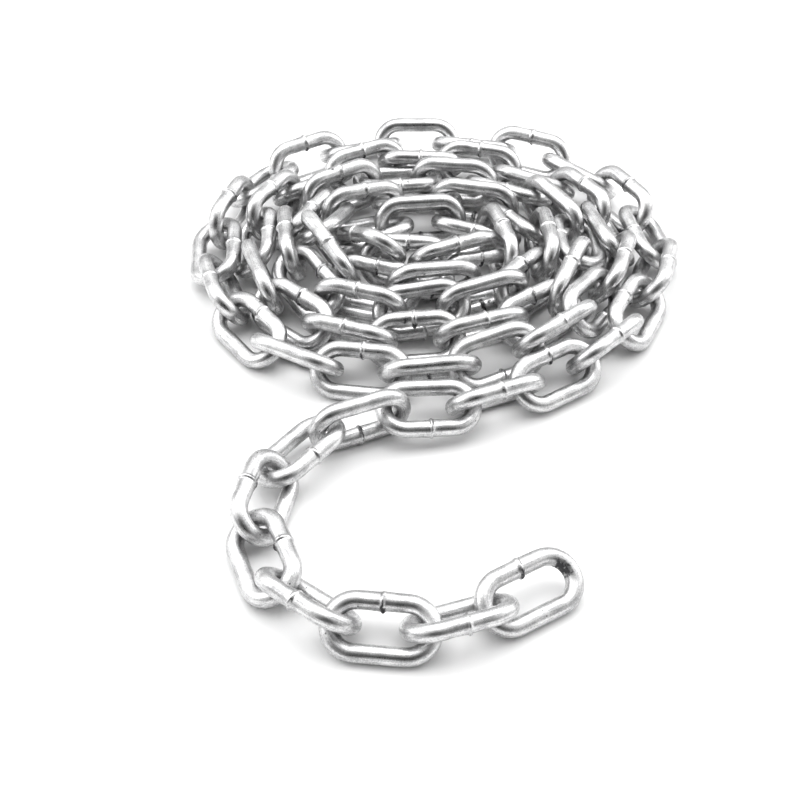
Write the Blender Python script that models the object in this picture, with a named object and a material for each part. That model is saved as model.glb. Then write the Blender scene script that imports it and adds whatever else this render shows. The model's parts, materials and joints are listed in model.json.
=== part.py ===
"""A heap of welded steel chain: one length laid in a flat spiral pile, with its free end drawn out in front.

Units are metres and +Z is up. The pile's front, from which the free end runs out, faces -Y. Each link is a
round bar bent to a long loop and welded shut. The chain's route is laid down in plan, each link is put on it
with its own roll about the route, and a clearance pass then turns and lifts the links until no two bars are
nearer than the running gap and none is below the floor.
"""

from math import cos, exp, pi, radians, sin

import bpy
import numpy as np
from mathutils import Matrix, Vector

# The link. Bars that bear on each other keep the running gap, and neighbours may lie the slack further apart.
BAR = 0.006
INNER_LENGTH = 0.026
INNER_WIDTH = 0.010
GAP = 0.0003
SLACK = 0.0005
LINK_LENGTH = INNER_LENGTH + 2 * BAR
BEND_RADIUS = (INNER_WIDTH + BAR) / 2
HALF_STRAIGHT = (LINK_LENGTH - BAR) / 2 - BEND_RADIUS
PITCH = INNER_LENGTH - GAP
ARC_SEGMENTS = 4
BEVEL_RESOLUTION = 2
SHARP_ANGLE = radians(60)

# The free end's route in plan, joint by joint from its tip to the pile, and the roll of its links in degrees
TAIL_JOINTS = (
    (0.053, -0.087), (0.030, -0.100), (0.005, -0.111), (-0.021, -0.107),
    (-0.042, -0.090), (-0.049, -0.066), (-0.045, -0.041), (-0.028, -0.022),
    (-0.003, -0.018), (0.022, -0.014), (0.047, -0.005),
)
TAIL_ROLLS = (-28, 34, -30, 24, -24, 24, -38, -80, 40, -45, 83, -20)
STEPS_A_JOINT = 24
LEAD_IN_STEPS = 20
HALVINGS = 30

# The pile's route: an oval spiral that runs inwards, counter-clockwise seen from above, from its front
PILE_CENTRE = (0.010, 0.079)
HALF_WIDTH, WIDTH_LOST_A_TURN = 0.094, 0.0118
HALF_DEPTH, DEPTH_LOST_A_TURN = 0.0860, 0.0144
FIRST_TURN, LAST_TURN, TURN_STEP = 0.09, 5.2, 0.004
BULGE, BULGE_TURN, BULGE_SPREAD = 0.0120, 0.910, 0.062
PILE_ROLL = 45
ROLL_WANDERS = ((12, 1.9, 0), (9, 0.7, 1))

# The pile is lowest along its rim and rises by a little at each row inwards
RIM_RADIUS = 0.093
WIDTH_TO_DEPTH = 0.9
LEVEL_TURNS = 0.3
ROW_PITCH = 0.015
RISE_A_ROW = 0.004

# The clearance pass. It samples each link's centre line, which may miss the nearest points by the sample error.
# The eight-sided bar reaches past the round one on the inside of a bend, which the facet allowance makes room for.
# Lengths are rounded at each pass, so that the last digits of a machine's arithmetic don't add up to another heap.
SAMPLES = 32
QUARTERS = 4
ROUNDED_TO = 8
SAMPLE_ERROR = 0.00015
FACET_ALLOWANCE = 0.0003
FALL_STEP = 0.00007
FALL_PASSES = 360
CLEARING_PASSES = 700
HOLD = 0.03
EAGERNESS = 2.0
REACH = 0.038
LINK_INERTIA = (48e-6, 120e-6, 150e-6)

# The nodes: the free end and the outer turn link by link, the rest in pairs, each turn under its own name
OUTER_TURN_LINKS = 22
TURN_NAMES = ("second_turn", "third_turn", "fourth_turn", "centre_turn")
TURN_STARTS = (1.0, 2.0, 3.0, 4.0)
PAD_RADIUS = 0.0016
PAD_SIDES = 8
PAD_LENGTH_SHARE = 0.5

STEEL = (0.56, 0.57, 0.58, 1.0)
STEEL_ROUGHNESS = 0.3


def remove_everything():
    for obj in list(bpy.data.objects):
        bpy.data.objects.remove(obj, do_unlink=True)


def zinc_plated_steel():
    material = bpy.data.materials.new("zinc_plated_steel")
    material.use_nodes = True
    shader = material.node_tree.nodes["Principled BSDF"]
    shader.inputs["Base Color"].default_value = STEEL
    shader.inputs["Roughness"].default_value = STEEL_ROUGHNESS
    shader.inputs["Metallic"].default_value = 1.0
    return material


def loop_point(distance):
    """The point of a link's centre line that far round it, with the link's length along X and its width along Y."""
    side, bend = 2 * HALF_STRAIGHT, pi * BEND_RADIUS
    if distance < side:
        return distance - HALF_STRAIGHT, -BEND_RADIUS
    if distance < side + bend:
        angle = (distance - side) / BEND_RADIUS - pi / 2
        return HALF_STRAIGHT + BEND_RADIUS * cos(angle), BEND_RADIUS * sin(angle)
    if distance < 2 * side + bend:
        return HALF_STRAIGHT - (distance - side - bend), BEND_RADIUS
    angle = (distance - 2 * side - bend) / BEND_RADIUS + pi / 2
    return -HALF_STRAIGHT + BEND_RADIUS * cos(angle), BEND_RADIUS * sin(angle)


def loop_samples(count):
    around = 4 * HALF_STRAIGHT + 2 * pi * BEND_RADIUS
    flat = [loop_point(around * i / count) for i in range(count)]
    return np.array([(x, y, 0.0) for x, y in flat])


def spiral_point(turn):
    """A point of the pile's route, whose outer turn bulges at the front left."""
    angle = 2 * pi * turn - pi / 2
    out = BULGE * exp(-(((turn - BULGE_TURN) / BULGE_SPREAD) ** 2))
    x = PILE_CENTRE[0] + (HALF_WIDTH - WIDTH_LOST_A_TURN * turn + out) * cos(angle)
    y = PILE_CENTRE[1] + (HALF_DEPTH - DEPTH_LOST_A_TURN * turn + out) * sin(angle)
    return x, y


def smooth_line(points, steps):
    """Points on a Catmull-Rom curve through the given points."""
    points = np.array(points)
    padded = np.vstack([2 * points[0] - points[1], points, 2 * points[-1] - points[-2]])
    line = []
    for before, start, end, after in zip(padded, padded[1:], padded[2:], padded[3:]):
        for u in np.arange(steps) / steps:
            line.append(
                start
                + 0.5 * (end - before) * u
                + (before - 2.5 * start + 2 * end - 0.5 * after) * u**2
                + (1.5 * (start - end) + 0.5 * (after - before)) * u**3
            )
    return np.array(line)


def route():
    """The chain's line in plan, from its free tip to the middle of the pile, and where the spiral starts on it."""
    pile = np.array([spiral_point(t) for t in np.arange(FIRST_TURN, LAST_TURN, TURN_STEP)])
    tail = smooth_line([*TAIL_JOINTS, pile[0], pile[LEAD_IN_STEPS]], STEPS_A_JOINT)[:-STEPS_A_JOINT]
    return np.vstack([tail, pile]), len(tail)


def walk(line, spiral_start):
    """Joints a pitch apart along the line, and each one's turn of the spiral, below zero on the free end."""
    joints, turns, here = [line[0]], [-1.0], 0
    while True:
        ahead = here + 1
        while ahead < len(line) and np.hypot(*(line[ahead] - joints[-1])) < PITCH:
            ahead += 1
        if ahead == len(line):
            return np.array(joints), np.array(turns)
        start, end = line[ahead - 1], line[ahead]
        inside, outside = 0.0, 1.0
        for _ in range(HALVINGS):
            middle = (inside + outside) / 2
            if np.hypot(*(start + (end - start) * middle - joints[-1])) < PITCH:
                inside = middle
            else:
                outside = middle
        joints.append(start + (end - start) * outside)
        turns.append(FIRST_TURN + (ahead - spiral_start) * TURN_STEP if ahead >= spiral_start else -1.0)
        here = ahead - 1


def rolls(count):
    """Each link's roll about the route. Neighbours lean opposite ways, by an amount that wanders along the pile."""
    degrees = list(TAIL_ROLLS)
    for i in range(len(TAIL_ROLLS), count):
        lean = PILE_ROLL if i % 2 == 0 else -PILE_ROLL
        degrees.append(lean - sum(size * sin(rate * i + start) for size, rate, start in ROLL_WANDERS))
    return np.radians(degrees)


def first_places(joints, turns):
    """Link centres and frames as laid out, before the clearance pass. A frame's columns are length, width, normal."""
    from_middle = np.hypot(*((joints - PILE_CENTRE) * (WIDTH_TO_DEPTH, 1.0)).T)
    rise = RISE_A_ROW * np.clip((RIM_RADIUS - from_middle) / ROW_PITCH, 0, None)
    height = BEND_RADIUS * sin(radians(PILE_ROLL)) + BAR / 2 + np.where(turns > LEVEL_TURNS, rise, 0)
    points = np.column_stack([joints, height])
    steps = points[1:] - points[:-1]
    length = steps / np.linalg.norm(steps, axis=1)[:, None]
    level = np.cross((0.0, 0.0, 1.0), length)
    level /= np.linalg.norm(level, axis=1)[:, None]
    upright = np.cross(length, level)
    roll = rolls(len(steps))[:, None]
    width = np.cos(roll) * level + np.sin(roll) * upright
    frames = np.stack([length, width, np.cross(length, width)], axis=-1)
    return (points[1:] + points[:-1]) / 2, frames


class Clearance:
    """Moves rigid links apart, a little at each pass, until their bars clear each other and the floor."""

    def __init__(self, centres, frames):
        self.centres = centres.copy()
        self.frames = frames.copy()
        self.home = centres.copy()
        self.samples = loop_samples(SAMPLES)
        self.wanted = BAR + GAP + SAMPLE_ERROR + FACET_ALLOWANCE
        self.ease = 1 / np.array(LINK_INERTIA)
        self.crown = np.array([(LINK_LENGTH - BAR) / 2, 0, 0])
        self.pairs = np.triu_indices(len(centres), 1)

    def along(self, points):
        return self.centres[:, None] + np.einsum("nij,kj->nki", self.frames, points)

    def start_pass(self):
        count = len(self.centres)
        self.shift, self.turn, self.hits = np.zeros((count, 3)), np.zeros((count, 3)), np.zeros(count)

    def give(self, link, arm, push):
        """How readily a link moves under a push at the end of an arm from its centre, and how it turns."""
        inner = np.einsum("pji,pj->pi", self.frames[link], np.cross(arm, push))
        turned = np.einsum("pij,pj->pi", self.frames[link], inner * self.ease)
        return 1 + (inner**2 * self.ease).sum(axis=1), turned

    def move(self, link, amount, push, turned):
        np.add.at(self.shift, link, amount[:, None] * push)
        np.add.at(self.turn, link, amount[:, None] * turned)
        np.add.at(self.hits, link, 1)

    def share(self, one, other, arm_one, arm_other, push, depth):
        ease_one, turned_one = self.give(one, arm_one, push)
        ease_other, turned_other = self.give(other, arm_other, -push)
        amount = depth / (ease_one + ease_other)
        self.move(one, amount, push, turned_one)
        self.move(other, amount, -push, turned_other)

    def part_bars(self, bars):
        """Pushes apart the nearest points of two links, once for each quarter of the first link."""
        near = np.linalg.norm(self.centres[self.pairs[0]] - self.centres[self.pairs[1]], axis=1) < REACH
        one, other = self.pairs[0][near], self.pairs[1][near]
        between = bars[one][:, :, None] - bars[other][:, None]
        distance = np.round(np.sqrt(np.einsum("pabk,pabk->pab", between, between)), ROUNDED_TO)
        quarters = distance.reshape(len(one), QUARTERS, -1)
        flat = quarters.argmin(axis=2)
        pair, quarter = np.where(quarters.min(axis=2) < self.wanted)
        spot = flat[pair, quarter]
        a = quarter * (SAMPLES // QUARTERS) + spot // SAMPLES
        b = spot % SAMPLES
        gap = distance[pair, a, b] + 1e-9
        push = between[pair, a, b] / gap[:, None]
        one, other = one[pair], other[pair]
        arm_one = bars[one, a] - self.centres[one]
        arm_other = bars[other, b] - self.centres[other]
        self.share(one, other, arm_one, arm_other, push, self.wanted - gap)
        return (self.wanted - gap).max(initial=0)

    def lift_off_floor(self, bars):
        link, sample = np.where(bars[:, :, 2] < BAR / 2)
        arm = bars[link, sample] - self.centres[link]
        up = np.tile((0.0, 0.0, 1.0), (len(link), 1))
        ease, turned = self.give(link, arm, up)
        self.move(link, (BAR / 2 - bars[link, sample, 2]) / ease, up, turned)

    def draw_joints_together(self):
        reach = np.einsum("nij,j->ni", self.frames, self.crown)
        ends, starts = self.centres + reach, self.centres - reach
        between = starts[1:] - ends[:-1]
        distance = np.linalg.norm(between, axis=1)
        far = np.where(distance > self.wanted + SLACK)[0]
        push = between[far] / distance[far][:, None]
        depth = distance[far] - self.wanted - SLACK
        self.share(far, far + 1, reach[far], -reach[far + 1], push, depth)

    def apply(self):
        share = EAGERNESS / np.maximum(self.hits, 2)[:, None]
        self.centres += self.shift * share
        turn = self.turn * share
        angle = np.linalg.norm(turn, axis=1)
        x, y, z = (turn / np.maximum(angle, 1e-9)[:, None]).T
        zero = np.zeros_like(x)
        axis = np.array([[zero, -z, y], [z, zero, -x], [-y, x, zero]]).transpose(2, 0, 1)
        rise, fall = np.sin(angle)[:, None, None], (1 - np.cos(angle))[:, None, None]
        self.frames = (np.eye(3) + rise * axis + fall * axis @ axis) @ self.frames
        self.frames = np.round(self.frames, ROUNDED_TO)

    def run(self):
        for number in range(FALL_PASSES + CLEARING_PASSES):
            falling = number < FALL_PASSES
            if falling:
                self.centres[:, 2] -= FALL_STEP
            self.start_pass()
            bars = self.along(self.samples)
            depth = self.part_bars(bars)
            self.lift_off_floor(bars)
            if falling:
                self.draw_joints_together()
            self.apply()
            if falling:
                self.centres[:, :2] += HOLD * (self.home - self.centres)[:, :2]
            elif depth < SAMPLE_ERROR:
                break
            self.centres = np.round(self.centres, ROUNDED_TO)
        return self.centres, self.frames


def link_mesh():
    """One link as a closed loop of bar, eight flats round, its length along X and its width along Y."""
    curve = bpy.data.curves.new("link_bar", "CURVE")
    curve.dimensions = "3D"
    curve.bevel_depth = BAR / 2
    curve.bevel_resolution = BEVEL_RESOLUTION
    spline = curve.splines.new("POLY")
    spline.use_cyclic_u = True
    points = []
    for end in (1, -1):
        for i in range(ARC_SEGMENTS + 1):
            angle = pi * i / ARC_SEGMENTS - pi / 2
            points.append((end * (HALF_STRAIGHT + BEND_RADIUS * cos(angle)), end * BEND_RADIUS * sin(angle)))
    spline.points.add(len(points) - 1)
    for point, (x, y) in zip(spline.points, points):
        point.co = (x, y, 0, 1)
    guide = bpy.data.objects.new("link_guide", curve)
    bpy.context.scene.collection.objects.link(guide)
    graph = bpy.context.evaluated_depsgraph_get()
    mesh = bpy.data.meshes.new_from_object(guide.evaluated_get(graph))
    bpy.data.objects.remove(guide, do_unlink=True)
    mesh.name = "link"
    mesh.shade_smooth()
    mesh.set_sharp_from_angle(angle=SHARP_ANGLE)
    return mesh


def place(name, mesh, matrix, collection, material):
    obj = bpy.data.objects.new(name, mesh)
    obj.matrix_world = matrix
    collection.objects.link(obj)
    if not mesh.materials:
        mesh.materials.append(material)
    return obj


def link_matrix(centre, frame):
    matrix = Matrix(frame.tolist()).to_4x4()
    matrix.translation = Vector(centre)
    return matrix


def moved_to_origin(centres, frames, mesh):
    """The link centres once the whole heap stands on Z = 0 with the middle of its plan outline at the origin."""
    corners = np.array([vertex.co for vertex in mesh.vertices])
    placed = centres[:, None] + np.einsum("nij,kj->nki", frames, corners)
    low, high = placed.min(axis=(0, 1)), placed.max(axis=(0, 1))
    return centres - ((low[0] + high[0]) / 2, (low[1] + high[1]) / 2, low[2])


def nearest_points(one, other):
    """The nearest points of two bars' centre lines, each given as rows of points."""
    between = one[:, None] - other[None]
    a, b = np.unravel_index((between**2).sum(axis=2).argmin(), between.shape[:2])
    return Vector(one[a]), Vector(other[b])


def pad_between(one, other, collection):
    """A short round pad across the running gap, where two links of one node bear on each other."""
    start, end = nearest_points(one, other)
    direction = end - start
    bpy.ops.mesh.primitive_cylinder_add(
        vertices=PAD_SIDES,
        radius=PAD_RADIUS,
        depth=PAD_LENGTH_SHARE * direction.length,
        location=(start + end) / 2,
    )
    pad = bpy.context.object
    pad.name = "pad"
    pad.rotation_euler = direction.to_track_quat("Z", "Y").to_euler()
    for owner in list(pad.users_collection):
        owner.objects.unlink(pad)
    collection.objects.link(pad)
    hide(pad)
    return pad


def hide(obj):
    obj.hide_render = True
    obj.display_type = "WIRE"


def join(obj, other):
    modifier = obj.modifiers.new(other.name, "BOOLEAN")
    modifier.operation = "UNION"
    modifier.object = other


def node_names(turns):
    """The name of each link's node, in order along the chain. Two links of one name share a node."""
    count = len(turns) - 1
    tail = len(TAIL_JOINTS) - 1
    names = [f"tail_link_{i + 1:02d}" for i in range(tail)]
    names += [f"outer_turn_link_{i + 1:02d}" for i in range(OUTER_TURN_LINKS)]
    counts = dict.fromkeys(TURN_NAMES, 0)
    while len(names) < count:
        turn = max(i for i, start in enumerate(TURN_STARTS) if turns[len(names)] >= start or i == 0)
        label = TURN_NAMES[turn]
        counts[label] += 1
        names += [f"{label}_pair_{counts[label]:02d}"] * 2
    if len(names) > count:
        names = names[:count]
        names[-1] = "inner_end_link"
    return names


def build():
    remove_everything()
    chain = bpy.data.collections.new("chain_heap")
    helpers = bpy.data.collections.new("joining_pieces")
    for collection in (chain, helpers):
        bpy.context.scene.collection.children.link(collection)
    steel = zinc_plated_steel()
    mesh = link_mesh()

    joints, turns = walk(*route())
    clearance = Clearance(*first_places(joints, turns))
    centres, frames = clearance.run()
    clearance.centres = centres = moved_to_origin(centres, frames, mesh)
    bars = clearance.along(loop_samples(4 * SAMPLES))

    names = node_names(turns)
    for i, name in enumerate(names):
        matrix = link_matrix(centres[i], frames[i])
        if i and name == names[i - 1]:
            partner = place("joined_link", mesh, matrix, helpers, steel)
            hide(partner)
            join(chain.objects[name], pad_between(bars[i - 1], bars[i], helpers))
            join(chain.objects[name], partner)
        else:
            place(name, mesh, matrix, chain, steel)


build()
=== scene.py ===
"""The looks of a heap of welded steel chain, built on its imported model.

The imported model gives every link's place. Each link is made again here as a round, bright zinc-plated bar, bent
to a long loop and butt-welded on one side, with the weld's raised ring and burr, the swelling beside it, the
pinches of the welding clamps and the small faults of bent bar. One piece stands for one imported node.
"""

import json
import logging
import math
from dataclasses import dataclass
from enum import Enum

import bpy
import numpy as np
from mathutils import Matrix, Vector

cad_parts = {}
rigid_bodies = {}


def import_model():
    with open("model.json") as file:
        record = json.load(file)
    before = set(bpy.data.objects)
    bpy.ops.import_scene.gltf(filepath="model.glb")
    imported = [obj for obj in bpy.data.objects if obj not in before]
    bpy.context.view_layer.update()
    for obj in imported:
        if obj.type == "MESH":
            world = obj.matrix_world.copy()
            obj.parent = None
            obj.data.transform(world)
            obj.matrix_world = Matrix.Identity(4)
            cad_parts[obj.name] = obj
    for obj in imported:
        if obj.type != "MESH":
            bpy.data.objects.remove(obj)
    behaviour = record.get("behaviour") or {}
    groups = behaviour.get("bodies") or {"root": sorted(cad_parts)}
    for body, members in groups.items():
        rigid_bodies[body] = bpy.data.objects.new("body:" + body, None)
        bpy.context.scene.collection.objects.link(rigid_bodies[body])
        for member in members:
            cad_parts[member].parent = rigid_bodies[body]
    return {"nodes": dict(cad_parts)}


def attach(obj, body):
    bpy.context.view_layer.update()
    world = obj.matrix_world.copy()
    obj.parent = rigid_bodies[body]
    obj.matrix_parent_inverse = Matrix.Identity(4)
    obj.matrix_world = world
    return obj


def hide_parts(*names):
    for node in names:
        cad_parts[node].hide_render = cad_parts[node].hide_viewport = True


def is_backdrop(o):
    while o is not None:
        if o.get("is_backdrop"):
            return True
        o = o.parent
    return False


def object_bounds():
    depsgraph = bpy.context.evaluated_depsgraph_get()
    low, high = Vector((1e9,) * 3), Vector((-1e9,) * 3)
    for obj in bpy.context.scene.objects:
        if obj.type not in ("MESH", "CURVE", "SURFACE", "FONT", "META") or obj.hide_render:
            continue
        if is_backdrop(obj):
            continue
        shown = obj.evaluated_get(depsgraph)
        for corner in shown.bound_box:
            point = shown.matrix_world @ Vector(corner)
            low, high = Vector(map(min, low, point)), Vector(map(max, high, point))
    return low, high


MM = 0.001

log = logging.getLogger("chain_heap")


def to_linear(hex_colour: str) -> tuple[float, float, float, float]:
    """Turn an sRGB hex colour into a linear one.

    Args:
        hex_colour: six hex digits, with or without a leading hash.

    Returns:
        Red, green, blue and an alpha of one.
    """
    digits = hex_colour.lstrip("#")
    parts = [int(digits[i : i + 2], 16) / 255 for i in (0, 2, 4)]
    red, green, blue = (c / 12.92 if c <= 0.04045 else ((c + 0.055) / 1.055) ** 2.4 for c in parts)
    return red, green, blue, 1.0


def add_node(tree: bpy.types.NodeTree, kind: str, links: dict | None = None, **settings) -> bpy.types.Node:
    """Add a shader node with its settings, input values and links.

    Args:
        tree: the node tree that gets the node.
        kind: the node's type name.
        links: input name or number to a value, or to an output socket that feeds it.
        settings: attributes of the node to set first.

    Returns:
        The new node.
    """
    node = tree.nodes.new(kind)
    for name, value in settings.items():
        setattr(node, name, value)
    for name, value in (links or {}).items():
        socket = node.inputs[name]
        if isinstance(value, bpy.types.NodeSocket):
            tree.links.new(value, socket)
        else:
            socket.default_value = value
    return node


class WeldBar(Enum):
    """Which of a link's two straight bars is welded, by where that bar lies in plan or in height."""

    FAR = (0.0, 1.0, 0.0)
    NEAR = (0.0, -1.0, 0.0)
    LEFT = (-1.0, 0.0, 0.0)
    RIGHT = (1.0, 0.0, 0.0)
    UPPER = (0.0, 0.0, 1.0)
    LOWER = (0.0, 0.0, -1.0)


@dataclass(frozen=True)
class ZincPlatedSteel:
    """Mild steel bar, drawn, bent and welded, then barrel-plated with bright zinc.

    The plating gives a clean neutral mirror that is slightly frosted. Under it the drawn bar's lines still run
    along the link, and the tumbling in the barrel leaves a fine grain, small pits and duller clouds. The weld
    and the clamps' pinches keep a dark, matt scale that the zinc covers badly.
    """

    bright: str = "#E3E3E3"
    dull: str = "#A9A9AA"
    scale_dark: str = "#48484A"
    metallic: float = 1.0
    roughness_smooth: float = 0.26
    roughness_dull: float = 0.44
    roughness_scale: float = 0.6
    cloud_mm: float = 5.0
    grain_mm: float = 0.45
    patch_mm: float = 1.6
    streak_length_mm: float = 9.0
    streak_width_mm: float = 0.45
    pit_spacing_mm: float = 2.6
    pit_radius_mm: float = 0.32
    grain_depth_mm: float = 0.035
    streak_depth_mm: float = 0.018
    pit_depth_mm: float = 0.06

    def material(self) -> bpy.types.Material:
        """Build the plated steel's material.

        Returns:
            The material, whose patterns run in millimetres along and round the straightened bar.
        """
        made = bpy.data.materials.new("bright_zinc_plated_steel")
        made.use_nodes = True
        tree = made.node_tree
        shader = tree.nodes["Principled BSDF"]
        shader.inputs["Metallic"].default_value = self.metallic
        bar = add_node(tree, "ShaderNodeAttribute", attribute_name="straight_bar").outputs["Vector"]
        scale = add_node(tree, "ShaderNodeAttribute", attribute_name="weld_scale").outputs["Fac"]

        clouds = self._noise(tree, bar, 1 / self.cloud_mm, detail=3.0)
        grain = self._noise(tree, bar, 1 / self.grain_mm, detail=2.0)
        stretch = (1 / self.streak_length_mm, 1 / self.streak_width_mm, 1 / self.streak_width_mm)
        drawn = add_node(tree, "ShaderNodeVectorMath", {0: bar, 1: stretch}, operation="MULTIPLY").outputs[0]
        streaks = self._noise(tree, drawn, 1.0, detail=2.0)
        pits = self._pits(tree, bar)
        dirt = self._dirt(tree, bar, scale)

        speckle = add_node(tree, "ShaderNodeMath", {0: grain, 1: streaks}, operation="ADD").outputs[0]
        mottle = add_node(tree, "ShaderNodeMath", {0: speckle, 1: clouds}, operation="ADD").outputs[0]
        dullness = add_node(tree, "ShaderNodeMapRange", {0: mottle, 1: 1.28, 2: 1.8, 3: 0.0, 4: 1.0})
        worn = self._mix(tree, dullness.outputs[0], to_linear(self.bright), to_linear(self.dull))
        spotted = self._mix(tree, pits, worn, to_linear(self.scale_dark))
        colour = self._mix(tree, dirt, spotted, to_linear(self.scale_dark))
        tree.links.new(colour, shader.inputs["Base Color"])

        rough = add_node(
            tree,
            "ShaderNodeMapRange",
            {0: speckle, 1: 0.75, 2: 1.25, 3: self.roughness_smooth, 4: self.roughness_dull},
        ).outputs[0]
        rough_scale = add_node(
            tree, "ShaderNodeMix", {0: dirt, 2: rough, 3: self.roughness_scale}, data_type="FLOAT"
        ).outputs[0]
        tree.links.new(rough_scale, shader.inputs["Roughness"])

        relief = self._bump(tree, streaks, self.streak_depth_mm, None)
        relief = self._bump(tree, grain, self.grain_depth_mm, relief)
        holes = add_node(tree, "ShaderNodeMath", {0: 1.0, 1: pits}, operation="SUBTRACT").outputs[0]
        relief = self._bump(tree, holes, self.pit_depth_mm, relief)
        tree.links.new(relief, shader.inputs["Normal"])
        return made

    def _noise(self, tree: bpy.types.NodeTree, vector: bpy.types.NodeSocket, per_mm: float, detail: float):
        """Add a noise with that many waves a millimetre, and return its value."""
        links = {"Vector": vector, "Scale": per_mm, "Detail": detail, "Roughness": 0.6}
        return add_node(tree, "ShaderNodeTexNoise", links).outputs["Fac"]

    def _mix(self, tree: bpy.types.NodeTree, share, first, second) -> bpy.types.NodeSocket:
        """Mix two colours by a share, and return the mixed colour."""
        mix = add_node(tree, "ShaderNodeMix", {0: share, 6: first, 7: second}, data_type="RGBA")
        return mix.outputs[2]

    def _bump(self, tree: bpy.types.NodeTree, height, depth_mm: float, below) -> bpy.types.NodeSocket:
        """Add relief of that depth on top of the relief below it, and return the bent normal."""
        links = {"Height": height, "Strength": 1.0, "Distance": depth_mm * MM}
        if below is not None:
            links["Normal"] = below
        return add_node(tree, "ShaderNodeBump", links).outputs["Normal"]

    def _pits(self, tree: bpy.types.NodeTree, bar: bpy.types.NodeSocket) -> bpy.types.NodeSocket:
        """Small round pits in the plating, in some of the cells of a scattered pattern, and return their mask."""
        cells = add_node(tree, "ShaderNodeTexVoronoi", {"Vector": bar, "Scale": 1 / self.pit_spacing_mm})
        radius = self.pit_radius_mm / self.pit_spacing_mm
        dots = add_node(
            tree, "ShaderNodeMapRange", {0: cells.outputs["Distance"], 1: radius, 2: radius * 0.5, 3: 0.0, 4: 0.85}
        )
        lot = add_node(tree, "ShaderNodeSeparateColor", {0: cells.outputs["Color"]})
        chosen = add_node(tree, "ShaderNodeMath", {0: lot.outputs[0], 1: 0.66}, operation="GREATER_THAN")
        return add_node(
            tree, "ShaderNodeMath", {0: dots.outputs[0], 1: chosen.outputs[0]}, operation="MULTIPLY"
        ).outputs[0]

    def _dirt(self, tree: bpy.types.NodeTree, bar: bpy.types.NodeSocket, scale: bpy.types.NodeSocket):
        """Broken patches of dark scale where the weld and the clamps left it, and return their mask."""
        patch = self._noise(tree, bar, 1 / self.patch_mm, detail=3.0)
        reach = add_node(tree, "ShaderNodeMath", {0: patch, 1: scale}, operation="MULTIPLY").outputs[0]
        return add_node(tree, "ShaderNodeMapRange", {0: reach, 1: 0.34, 2: 0.5, 3: 0.0, 4: 0.9}).outputs[0]


@dataclass(frozen=True)
class WhitePaper:
    """Matt white background paper, whose even white shows only the softest shadow."""

    colour: str = "#F3F3F3"
    roughness: float = 0.9

    def material(self) -> bpy.types.Material:
        """Build the paper's plain matt material."""
        made = bpy.data.materials.new("matt_white_background_paper")
        made.use_nodes = True
        shader = made.node_tree.nodes["Principled BSDF"]
        shader.inputs["Base Color"].default_value = to_linear(self.colour)
        shader.inputs["Roughness"].default_value = self.roughness
        return made


@dataclass
class LinkPose:
    """Where one link lies: its centre, and the directions of its length, width and normal as a frame's columns."""

    centre: np.ndarray
    frame: np.ndarray

    def placed(self, points: np.ndarray) -> np.ndarray:
        """Points given in the link's own axes, moved to where the link lies."""
        return self.centre + points @ self.frame.T


@dataclass(frozen=True)
class LinkForm:
    """The sizes of one link, in metres, and the shape of its centre line."""

    bar: float = 0.006
    inner_length: float = 0.026
    inner_width: float = 0.010

    @property
    def bend(self) -> float:
        """Radius of the centre line round the link's ends."""
        return (self.inner_width + self.bar) / 2

    @property
    def half_straight(self) -> float:
        """Half the length of a straight side."""
        return (self.inner_length + self.bar) / 2 - self.bend

    @property
    def around(self) -> float:
        """Length of the centre line."""
        return 4 * self.half_straight + 2 * math.pi * self.bend

    def centre_line(self, along: np.ndarray) -> tuple[np.ndarray, np.ndarray]:
        """Follow the centre line from the middle of the welded side.

        Args:
            along: distances from the weld, in metres.

        Returns:
            The points in plan, and the outward directions there, as rows of length and width.
        """
        half, bend = self.half_straight, self.bend
        s = np.mod(along, self.around)
        turn = math.pi * bend
        points, outward = np.zeros((len(s), 2)), np.zeros((len(s), 2))
        first, last = s < half, s >= 3 * half + 2 * turn
        points[first] = np.column_stack([s[first], np.full(first.sum(), bend)])
        points[last] = np.column_stack([s[last] - self.around, np.full(last.sum(), bend)])
        outward[first | last] = (0, 1)
        for start, side in ((half, 1), (3 * half + turn, -1)):
            on = (s >= start) & (s < start + turn)
            angle = math.pi / 2 - side * (s[on] - start) / bend if side == 1 else -math.pi / 2 - (s[on] - start) / bend
            way = np.column_stack([np.cos(angle), np.sin(angle)])
            points[on] = (side * half, 0) + bend * way
            outward[on] = way
        back = (s >= half + turn) & (s < 3 * half + turn)
        points[back] = np.column_stack([half - (s[back] - half - turn), np.full(back.sum(), -bend)])
        outward[back] = (0, -1)
        return points, outward


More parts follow.
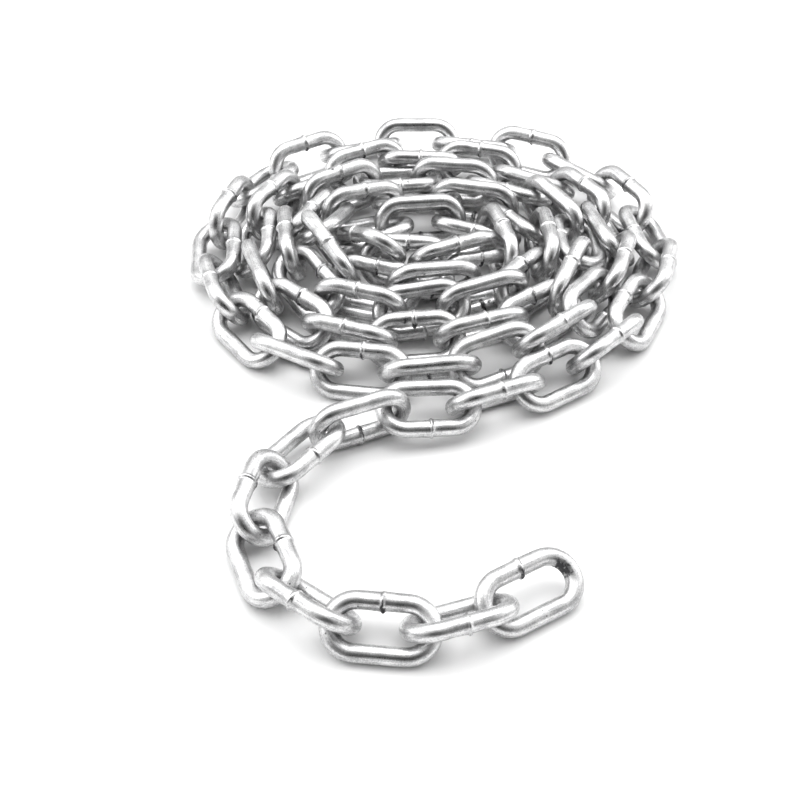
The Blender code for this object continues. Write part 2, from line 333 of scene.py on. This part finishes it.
@dataclass(frozen=True)
class LinkFinder:
    """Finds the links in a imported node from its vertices.

    A packed link is an eight-sided bar with a ring of corners at each step of its bends. The rings of one bend
    lie evenly about the link's length, so their principal directions are the link's own axes.
    """

    form: LinkForm
    bend_steps: int = 4
    sides: int = 8
    leans: tuple[float, ...] = (-0.6, -0.3, 0.0, 0.3, 0.6)
    within: float = 0.0001

    def find(self, node: bpy.types.Object) -> list[LinkPose]:
        """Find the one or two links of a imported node.

        Args:
            node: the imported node's object.

        Returns:
            The links' poses, in order along the node's longest direction.
        """
        points = np.array([vertex.co for vertex in node.data.vertices])
        points = np.unique(np.round(points, 7), axis=0)
        axes = self._axes(points)
        if len(points) == 2 * (self.bend_steps + 1) * self.sides:
            return [self._tidied(points.mean(axis=0), axes[:, 0], axes[:, 2])]
        first = self._clearest(points)
        other = self._clearest(points[~self._on_bar(points, first)])
        long_way = axes[:, 0] * (1 if axes[0, 0] >= 0 else -1)
        return sorted((first, other), key=lambda pose: pose.centre @ long_way)

    def _clearest(self, points: np.ndarray) -> LinkPose:
        """The link that shows best in the corners: the outermost ones, seen from a few ways, each give a pose.

        Args:
            points: the corners of one or two links.

        Returns:
            The pose that has the most corners on its bar.
        """
        one_bend = (self.bend_steps + 1) * self.sides
        length, across, above = self._axes(points).T
        poses = []
        for end in (-1, 1):
            for way in (end * length + a * across + b * above for a in self.leans for b in self.leans):
                poses.append(self._from_bend(points[np.argsort(points @ way)[-one_bend:]], end * length))
        return max(poses, key=lambda pose: self._on_bar(points, pose).sum())

    def _on_bar(self, points: np.ndarray, pose: LinkPose) -> np.ndarray:
        """Which of the points lie on the bar of a link with that pose."""
        along, across, above = np.abs((points - pose.centre) @ pose.frame).T
        from_line = np.hypot(np.maximum(along - self.form.half_straight, 0), across) - self.form.bend
        return np.abs(np.hypot(from_line, above) - self.form.bar / 2) < self.within

    def _from_bend(self, bend: np.ndarray, outward: np.ndarray) -> LinkPose:
        """The pose of a link whose outer bend has those corners, where outward is roughly its length's direction."""
        _, length, normal = self._axes(bend).T
        length = length * (1 if length @ outward >= 0 else -1)
        steps = np.pi * np.arange(self.bend_steps + 1) / self.bend_steps
        to_bend = self.form.half_straight + self.form.bend * np.sin(steps).mean()
        return self._tidied(bend.mean(axis=0) - to_bend * length, length, normal)

    def _axes(self, points: np.ndarray) -> np.ndarray:
        """The principal directions of the points, longest first, as columns."""
        return np.linalg.svd(points - points.mean(axis=0), full_matrices=False)[2].T

    def _tidied(self, centre: np.ndarray, length: np.ndarray, normal: np.ndarray) -> LinkPose:
        """A pose whose normal points up, whose length points to +X and whose axes are right-handed."""
        normal = normal * (1 if normal[2] >= 0 else -1)
        length = length * (1 if length[0] >= 0 else -1)
        return LinkPose(centre, np.column_stack([length, np.cross(normal, length), normal]))


@dataclass(frozen=True)
class WeldForm:
    """What the butt weld and its clamps leave on the bar, in millimetres."""

    ring_height: float = 0.5
    ring_half_width: float = 0.58
    burr_height: float = 0.55
    burr_spread: float = 0.4
    swelling: float = 0.1
    swelling_reach: float = 2.4
    step: float = 0.12
    step_reach: float = 5.0
    pinch_depth: float = 0.16
    pinch_place: float = 4.8
    pinch_reach: float = 1.5
    scale_reach: float = 1.5
    worn_place: float = 0.38
    worn_reach: float = 7.0


@dataclass
class ChainLink:
    """One bent and welded link, with the small faults that set it apart from the others."""

    form: LinkForm
    pose: LinkPose
    weld_side: int
    seed: int
    worn_end: bool = False
    weld: WeldForm = WeldForm()
    sides: int = 28
    bend_steps: int = 18
    waviness_mm: float = 0.02
    bow_mm: float = 0.15
    skew: float = 0.012

    def stations(self) -> np.ndarray:
        """Distances along the centre line from the weld, closer together near it, once round the link."""
        near = np.array([0, 0.18, 0.36, 0.56, 0.8, 1.15, 1.7, 2.5, 3.5, 4.6, 5.6, 6.8]) * MM
        half, turn = self.form.half_straight, math.pi * self.form.bend
        first = half + np.arange(self.bend_steps) / self.bend_steps * turn
        back = half + turn + np.arange(8) / 8 * 2 * half
        second = 3 * half + turn + np.arange(self.bend_steps) / self.bend_steps * turn
        return np.concatenate([near, first, back, second, [3 * half + 2 * turn], (self.form.around - near[:0:-1])])

    def build(self) -> tuple[np.ndarray, list[tuple[int, int, int, int]], np.ndarray, np.ndarray]:
        """Make the link's surface.

        Returns:
            Its points in place, its four-sided faces, the straightened bar's coordinates in millimetres for each
            face corner, and the share of weld scale at each point.
        """
        rng = np.random.default_rng(self.seed)
        along = self.stations()
        from_weld = np.where(along > self.form.around / 2, along - self.form.around, along) / MM
        around_bar = 2 * np.pi * np.arange(self.sides) / self.sides
        o, a = from_weld[:, None], around_bar[None]

        radius = self.form.bar / 2 / MM + self._waves(rng, o, a) + self._weld_relief(rng, o, a)
        line, outward = self.form.centre_line(along)
        line = self._bent_by_hand(rng, line)
        middle = np.column_stack([line / MM, np.zeros(len(along))])
        middle += self._misfit(rng, from_weld)
        way = np.column_stack([outward, np.zeros(len(along))])
        points = middle[:, None] + radius[..., None] * (
            np.cos(a)[..., None] * way[:, None] + np.sin(a)[..., None] * np.array([0, 0, 1.0])
        )
        points[..., 1] *= self.weld_side
        count, sides = len(along), self.sides
        faces, corners = [], []
        here = np.append(along / MM, self.form.around / MM) + 40 * rng.random()
        across = np.column_stack([np.cos(around_bar), np.sin(around_bar)]) * self.form.bar / 2 / MM
        for i in range(count):
            for k in range(sides):
                ring = ((i, k), (i + 1, k), (i + 1, (k + 1) % sides), (i, (k + 1) % sides))
                if self.weld_side < 0:
                    ring = ring[::-1]
                faces.append(tuple((r % count) * sides + c for r, c in ring))
                corners.extend((here[r], *across[c]) for r, c in ring)
        scale = self._scale(rng, o, a)
        if self.worn_end:
            scale = np.maximum(scale, self._worn(along[:, None] / MM, a))
        scale = scale.reshape(-1)
        return self.pose.placed(points.reshape(-1, 3) * MM), faces, np.array(corners), scale

    def _waves(self, rng: np.random.Generator, o: np.ndarray, a: np.ndarray) -> np.ndarray:
        """Low waves in the bar's surface, which make its reflections wander."""
        total = np.zeros(np.broadcast_shapes(o.shape, a.shape))
        length = self.form.around / MM
        for _ in range(9):
            waves, turns = rng.integers(2, 12), rng.integers(0, 4)
            start = rng.random(2) * 2 * np.pi
            total += np.sin(2 * np.pi * waves * o / length + start[0]) * np.cos(turns * a + start[1]) / 3
        return self.waviness_mm * total

    def _weld_relief(self, rng: np.random.Generator, o: np.ndarray, a: np.ndarray) -> np.ndarray:
        """The raised ring, its burr on the eye's side, the swelling beside it and the clamps' pinches."""
        weld = self.weld
        turn = rng.random() * 2 * np.pi
        uneven = 0.8 + 0.22 * np.cos(a - turn) + 0.1 * np.cos(3 * a + turn)
        wander = 0.12 * np.sin(a + turn) + 0.06 * np.sin(3 * a)
        ring = weld.ring_height * uneven * np.exp(-(((o - wander) / weld.ring_half_width) ** 4))
        inner = np.angle(np.exp(1j * (a - np.pi - 0.5 * (rng.random() - 0.5))))
        burr = weld.burr_height * rng.random() * np.exp(-((inner / weld.burr_spread) ** 2))
        burr = burr * np.exp(-((o / weld.ring_half_width) ** 2))
        swelling = weld.swelling * np.exp(-((o / weld.swelling_reach) ** 2))
        pinches = 0
        for side in (-1, 1):
            facing = rng.choice([-1.0, 1.0]) * (0.9 + 0.6 * rng.random())
            place = side * (weld.pinch_place + 0.6 * (rng.random() - 0.5))
            flat = np.clip(np.cos(a - facing), 0, 1) ** 5
            pinches = pinches + weld.pinch_depth * rng.random() * flat * np.exp(-(((o - place) / weld.pinch_reach) ** 4))
        return ring + burr + swelling - pinches

    def _misfit(self, rng: np.random.Generator, from_weld: np.ndarray) -> np.ndarray:
        """The small sideways step between the bar's two ends where they were welded."""
        amount = self.weld.step * (2 * rng.random(2) - 1)
        fade = np.tanh(from_weld / self.weld.ring_half_width) * np.exp(-np.abs(from_weld) / self.weld.step_reach)
        return np.column_stack([np.zeros(len(from_weld)), amount[0] * fade, amount[1] * fade])

    def _bent_by_hand(self, rng: np.random.Generator, line: np.ndarray) -> np.ndarray:
        """The centre line with sides that bow a little and ends that sit a little askew."""
        bow, skew = self.bow_mm * MM * (2 * rng.random(2) - 1), self.skew * (2 * rng.random() - 1)
        reach = self.form.half_straight + self.form.bend
        share = np.clip(1 - (line[:, 0] / reach) ** 2, 0, 1)
        side = np.where(line[:, 1] > 0, bow[0], -bow[1]) * share
        return np.column_stack([line[:, 0] + skew * line[:, 1], line[:, 1] + side])

    def _worn(self, s: np.ndarray, a: np.ndarray) -> np.ndarray:
        """The inside of the free end's bend, where the zinc is worn and torn off down to dark steel."""
        middle = (self.form.half_straight + math.pi * self.form.bend * self.weld.worn_place) / MM
        inside = np.clip(np.cos(a - np.pi + 0.35), 0, 1) ** 0.5
        return inside * np.exp(-(((s - middle) / self.weld.worn_reach) ** 4))

    def _scale(self, rng: np.random.Generator, o: np.ndarray, a: np.ndarray) -> np.ndarray:
        """How much dark scale lies at each point: round the weld, and where the clamps held the bar."""
        weld = self.weld
        at_weld = np.exp(-((o / weld.scale_reach) ** 2)) * (0.75 + 0.25 * np.cos(a - np.pi))
        facing = rng.random() * 2 * np.pi
        at_clamps = 0
        for side in (-1, 1):
            strip = np.clip(np.cos(a - facing), 0, 1) ** 3
            at_clamps = at_clamps + 0.95 * strip * np.exp(-(((o - side * 3.8) / 2.2) ** 4)) * rng.random()
        return np.clip(at_weld + at_clamps, 0, 1) + np.zeros(np.broadcast_shapes(o.shape, a.shape))


@dataclass
class ChainHeap:
    """All the links of the heap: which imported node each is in, and which of its bars is welded."""

    nodes: dict[str, bpy.types.Object]
    steel: bpy.types.Material
    floor: float
    top: float
    form: LinkForm = LinkForm()
    seed: int = 71
    share_welded_above: float = 0.72
    free_end: str = "tail_link_01"
    tail_welds: tuple[WeldBar, ...] = (
        WeldBar.FAR, WeldBar.NEAR, WeldBar.FAR, WeldBar.NEAR, WeldBar.RIGHT,
        WeldBar.LEFT, WeldBar.RIGHT, WeldBar.FAR, WeldBar.NEAR, WeldBar.NEAR,
    )

    def build(self) -> list[bpy.types.Object]:
        """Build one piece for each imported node.

        Returns:
            The pieces, each riding on the root body and standing for its node.
        """
        finder = LinkFinder(self.form)
        rng = np.random.default_rng(self.seed)
        pieces = []
        tail = [f"tail_link_{i + 1:02d}" for i in range(len(self.tail_welds))]
        known = dict(zip(tail, self.tail_welds))
        for number, name in enumerate(sorted(self.nodes)):
            links = []
            for place, pose in enumerate(finder.find(self.nodes[name])):
                above = rng.random() < self.share_welded_above
                bar = known.get(name, WeldBar.UPPER if above else WeldBar.LOWER)
                side = 1 if pose.frame[:, 1] @ np.array(bar.value) >= 0 else -1
                seed = self.seed + 10 * number + place
                links.append(ChainLink(self.form, pose, side, seed, worn_end=name == self.free_end))
            pieces.append(self._piece(name, links))
        return pieces

    def _piece(self, node: str, links: list[ChainLink]) -> bpy.types.Object:
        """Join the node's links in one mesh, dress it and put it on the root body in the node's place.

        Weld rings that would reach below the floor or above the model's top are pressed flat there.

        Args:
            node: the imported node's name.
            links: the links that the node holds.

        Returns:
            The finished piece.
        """
        points, faces, corners, scale = [], [], [], []
        for link in links:
            first = sum(len(part) for part in points)
            made_points, made_faces, made_corners, made_scale = link.build()
            points.append(made_points)
            faces.extend(tuple(first + i for i in face) for face in made_faces)
            corners.append(made_corners)
            scale.append(made_scale)
        placed = np.concatenate(points)
        placed[:, 2] = placed[:, 2].clip(self.floor, self.top)
        mesh = bpy.data.meshes.new(f"{node}_steel")
        mesh.from_pydata(placed.tolist(), [], faces)
        bar = mesh.attributes.new("straight_bar", "FLOAT_VECTOR", "CORNER")
        bar.data.foreach_set("vector", np.concatenate(corners).ravel())
        dark = mesh.attributes.new("weld_scale", "FLOAT", "POINT")
        dark.data.foreach_set("value", np.concatenate(scale))
        mesh.shade_smooth()
        mesh.materials.append(self.steel)
        piece = bpy.data.objects.new(f"{node}_welded", mesh)
        bpy.context.scene.collection.objects.link(piece)
        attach(piece, "root")
        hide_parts(node)
        log.info("%s: %d link(s), %d faces", piece.name, len(links), len(mesh.polygons))
        return piece


@dataclass(frozen=True)
class SoftBox:
    """A large soft studio light.

    Fields:
        place: where it hangs, in metres.
        size: its width and height.
        power: in watts.
    """

    name: str
    place: tuple[float, float, float]
    size: tuple[float, float]
    power: float

    def hang(self, target: Vector) -> bpy.types.Object:
        """Hang the light so that it faces the target."""
        light = bpy.data.lights.new(self.name, "AREA")
        light.shape = "RECTANGLE"
        light.size, light.size_y = self.size
        light.energy = self.power
        box = bpy.data.objects.new(self.name, light)
        box.location = self.place
        box.rotation_euler = (target - Vector(self.place)).to_track_quat("-Z", "Y").to_euler()
        bpy.context.scene.collection.objects.link(box)
        return box


@dataclass
class Studio:
    """The white paper, the light tent with its soft lights, and the camera at the photograph's viewing angle.

    The tent is white all round but for its opening at the front, which the steel reflects as its dark bands.
    """

    target: Vector
    distance: float = 0.493
    elevation: float = 43.0
    focal_mm: float = 61.06
    sensor_mm: float = 36.0
    flat_radius: float = 4.4
    sweep_radius: float = 2.0
    sweep_angle: float = 50.0
    sheet_sides: int = 96
    tent: str = "#F2F2F2"
    foot: str = "#262626"
    foot_heights: tuple[float, float] = (0.08, 0.36)
    opening: str = "#101010"
    opening_slope: float = 25.0
    opening_edges: tuple[float, float] = (53.0, 23.0)
    lights: tuple[SoftBox, ...] = (
        SoftBox("overhead_soft_box", (0.0, 0.35, 1.3), (1.6, 1.2), 11.5),
        SoftBox("right_soft_box", (1.2, 0.5, 0.7), (1.0, 1.0), 5.5),
        SoftBox("left_soft_box", (-1.2, 0.1, 0.7), (1.0, 1.0), 5.5),
    )

    def build(self) -> None:
        """Set up the tent, the floor, the lights and the camera."""
        scene = bpy.context.scene
        scene.view_settings.view_transform = "Standard"
        scene.view_settings.look = "Medium High Contrast"
        self._tent(scene)
        self._floor()
        for light in self.lights:
            light.hang(Vector((0.0, 0.0, 0.0)))
        self._camera(scene)

    def _tent(self, scene: bpy.types.Scene) -> None:
        """The white light tent as the scene's surroundings, dark towards its opening at the low front."""
        world = bpy.data.worlds.new("light_tent")
        world.use_nodes = True
        tree = world.node_tree
        slope = math.radians(self.opening_slope)
        front = (0.0, -math.cos(slope), math.sin(slope))
        way = add_node(tree, "ShaderNodeTexCoord").outputs["Generated"]
        height = add_node(tree, "ShaderNodeSeparateXYZ", {0: way}).outputs["Z"]
        low, high = self.foot_heights
        rise = add_node(tree, "ShaderNodeMapRange", {0: height, 1: low, 2: high, 3: 0.0, 4: 1.0}).outputs[0]
        links = {0: rise, 6: to_linear(self.foot), 7: to_linear(self.tent)}
        wall = add_node(tree, "ShaderNodeMix", links, data_type="RGBA").outputs[2]
        facing = add_node(tree, "ShaderNodeVectorMath", {0: way, 1: front}, operation="DOT_PRODUCT")
        start, full = (math.cos(math.radians(edge)) for edge in self.opening_edges)
        links = {0: facing.outputs["Value"], 1: start, 2: full, 3: 0.0, 4: 1.0}
        share = add_node(tree, "ShaderNodeMapRange", links).outputs[0]
        links = {0: share, 6: wall, 7: to_linear(self.opening)}
        inside = add_node(tree, "ShaderNodeMix", links, data_type="RGBA").outputs[2]
        tree.links.new(inside, tree.nodes["Background"].inputs["Color"])
        scene.world = world

    def _floor(self) -> None:
        """A wide round sheet of white paper that the heap lies on, and that sweeps up far away at its edge."""
        mesh = bpy.data.meshes.new("white_paper")
        steps = [math.radians(self.sweep_angle) * i / 8 for i in range(9)]
        profile = [(self.flat_radius * 0.95, 0.0)]
        for t in steps:
            profile.append((self.flat_radius + self.sweep_radius * math.sin(t), self.sweep_radius * (1 - math.cos(t))))
        around = [2 * math.pi * k / self.sheet_sides for k in range(self.sheet_sides)]
        points = [(radius * math.cos(a), radius * math.sin(a), height) for radius, height in profile for a in around]
        count = self.sheet_sides
        faces = [tuple(range(count))]
        for ring in range(len(profile) - 1):
            for k in range(count):
                first, after = ring * count + k, ring * count + (k + 1) % count
                faces.append((first, first + count, after + count, after))
        mesh.from_pydata(points, [], faces)
        mesh.shade_smooth()
        mesh.materials.append(WhitePaper().material())
        floor = bpy.data.objects.new("white_paper", mesh)
        bpy.context.scene.collection.objects.link(floor)
        floor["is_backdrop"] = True

    def _camera(self, scene: bpy.types.Scene) -> None:
        """The camera, level from side to side and looking down on the heap's front."""
        data = bpy.data.cameras.new("front_camera")
        data.lens, data.sensor_width = self.focal_mm, self.sensor_mm
        data.clip_start = 0.01
        camera = bpy.data.objects.new("front_camera", data)
        slope = math.radians(self.elevation)
        camera.location = self.target + self.distance * Vector((0, -math.cos(slope), math.sin(slope)))
        camera.rotation_euler = (math.pi / 2 - slope, 0, 0)
        scene.collection.objects.link(camera)
        scene.camera = camera


def clear_startup_scene() -> None:
    """Remove the objects that a new Blender scene starts with."""
    for obj in list(bpy.data.objects):
        bpy.data.objects.remove(obj, do_unlink=True)


def box_of_model() -> list[list[float]]:
    """The whole model's lowest and highest corners, as plain lists."""
    return [list(corner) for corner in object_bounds()]


def main() -> None:
    """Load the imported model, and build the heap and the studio."""
    logging.basicConfig(level=logging.INFO, format="%(message)s")
    clear_startup_scene()
    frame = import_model()
    packed_box = box_of_model()
    floor, top = packed_box[0][2], packed_box[1][2]
    ChainHeap(frame["nodes"], ZincPlatedSteel().material(), floor, top).build()
    Studio(target=Vector((-0.01389, -0.02290, 0.0))).build()


if __name__ == "__main__":
    main()
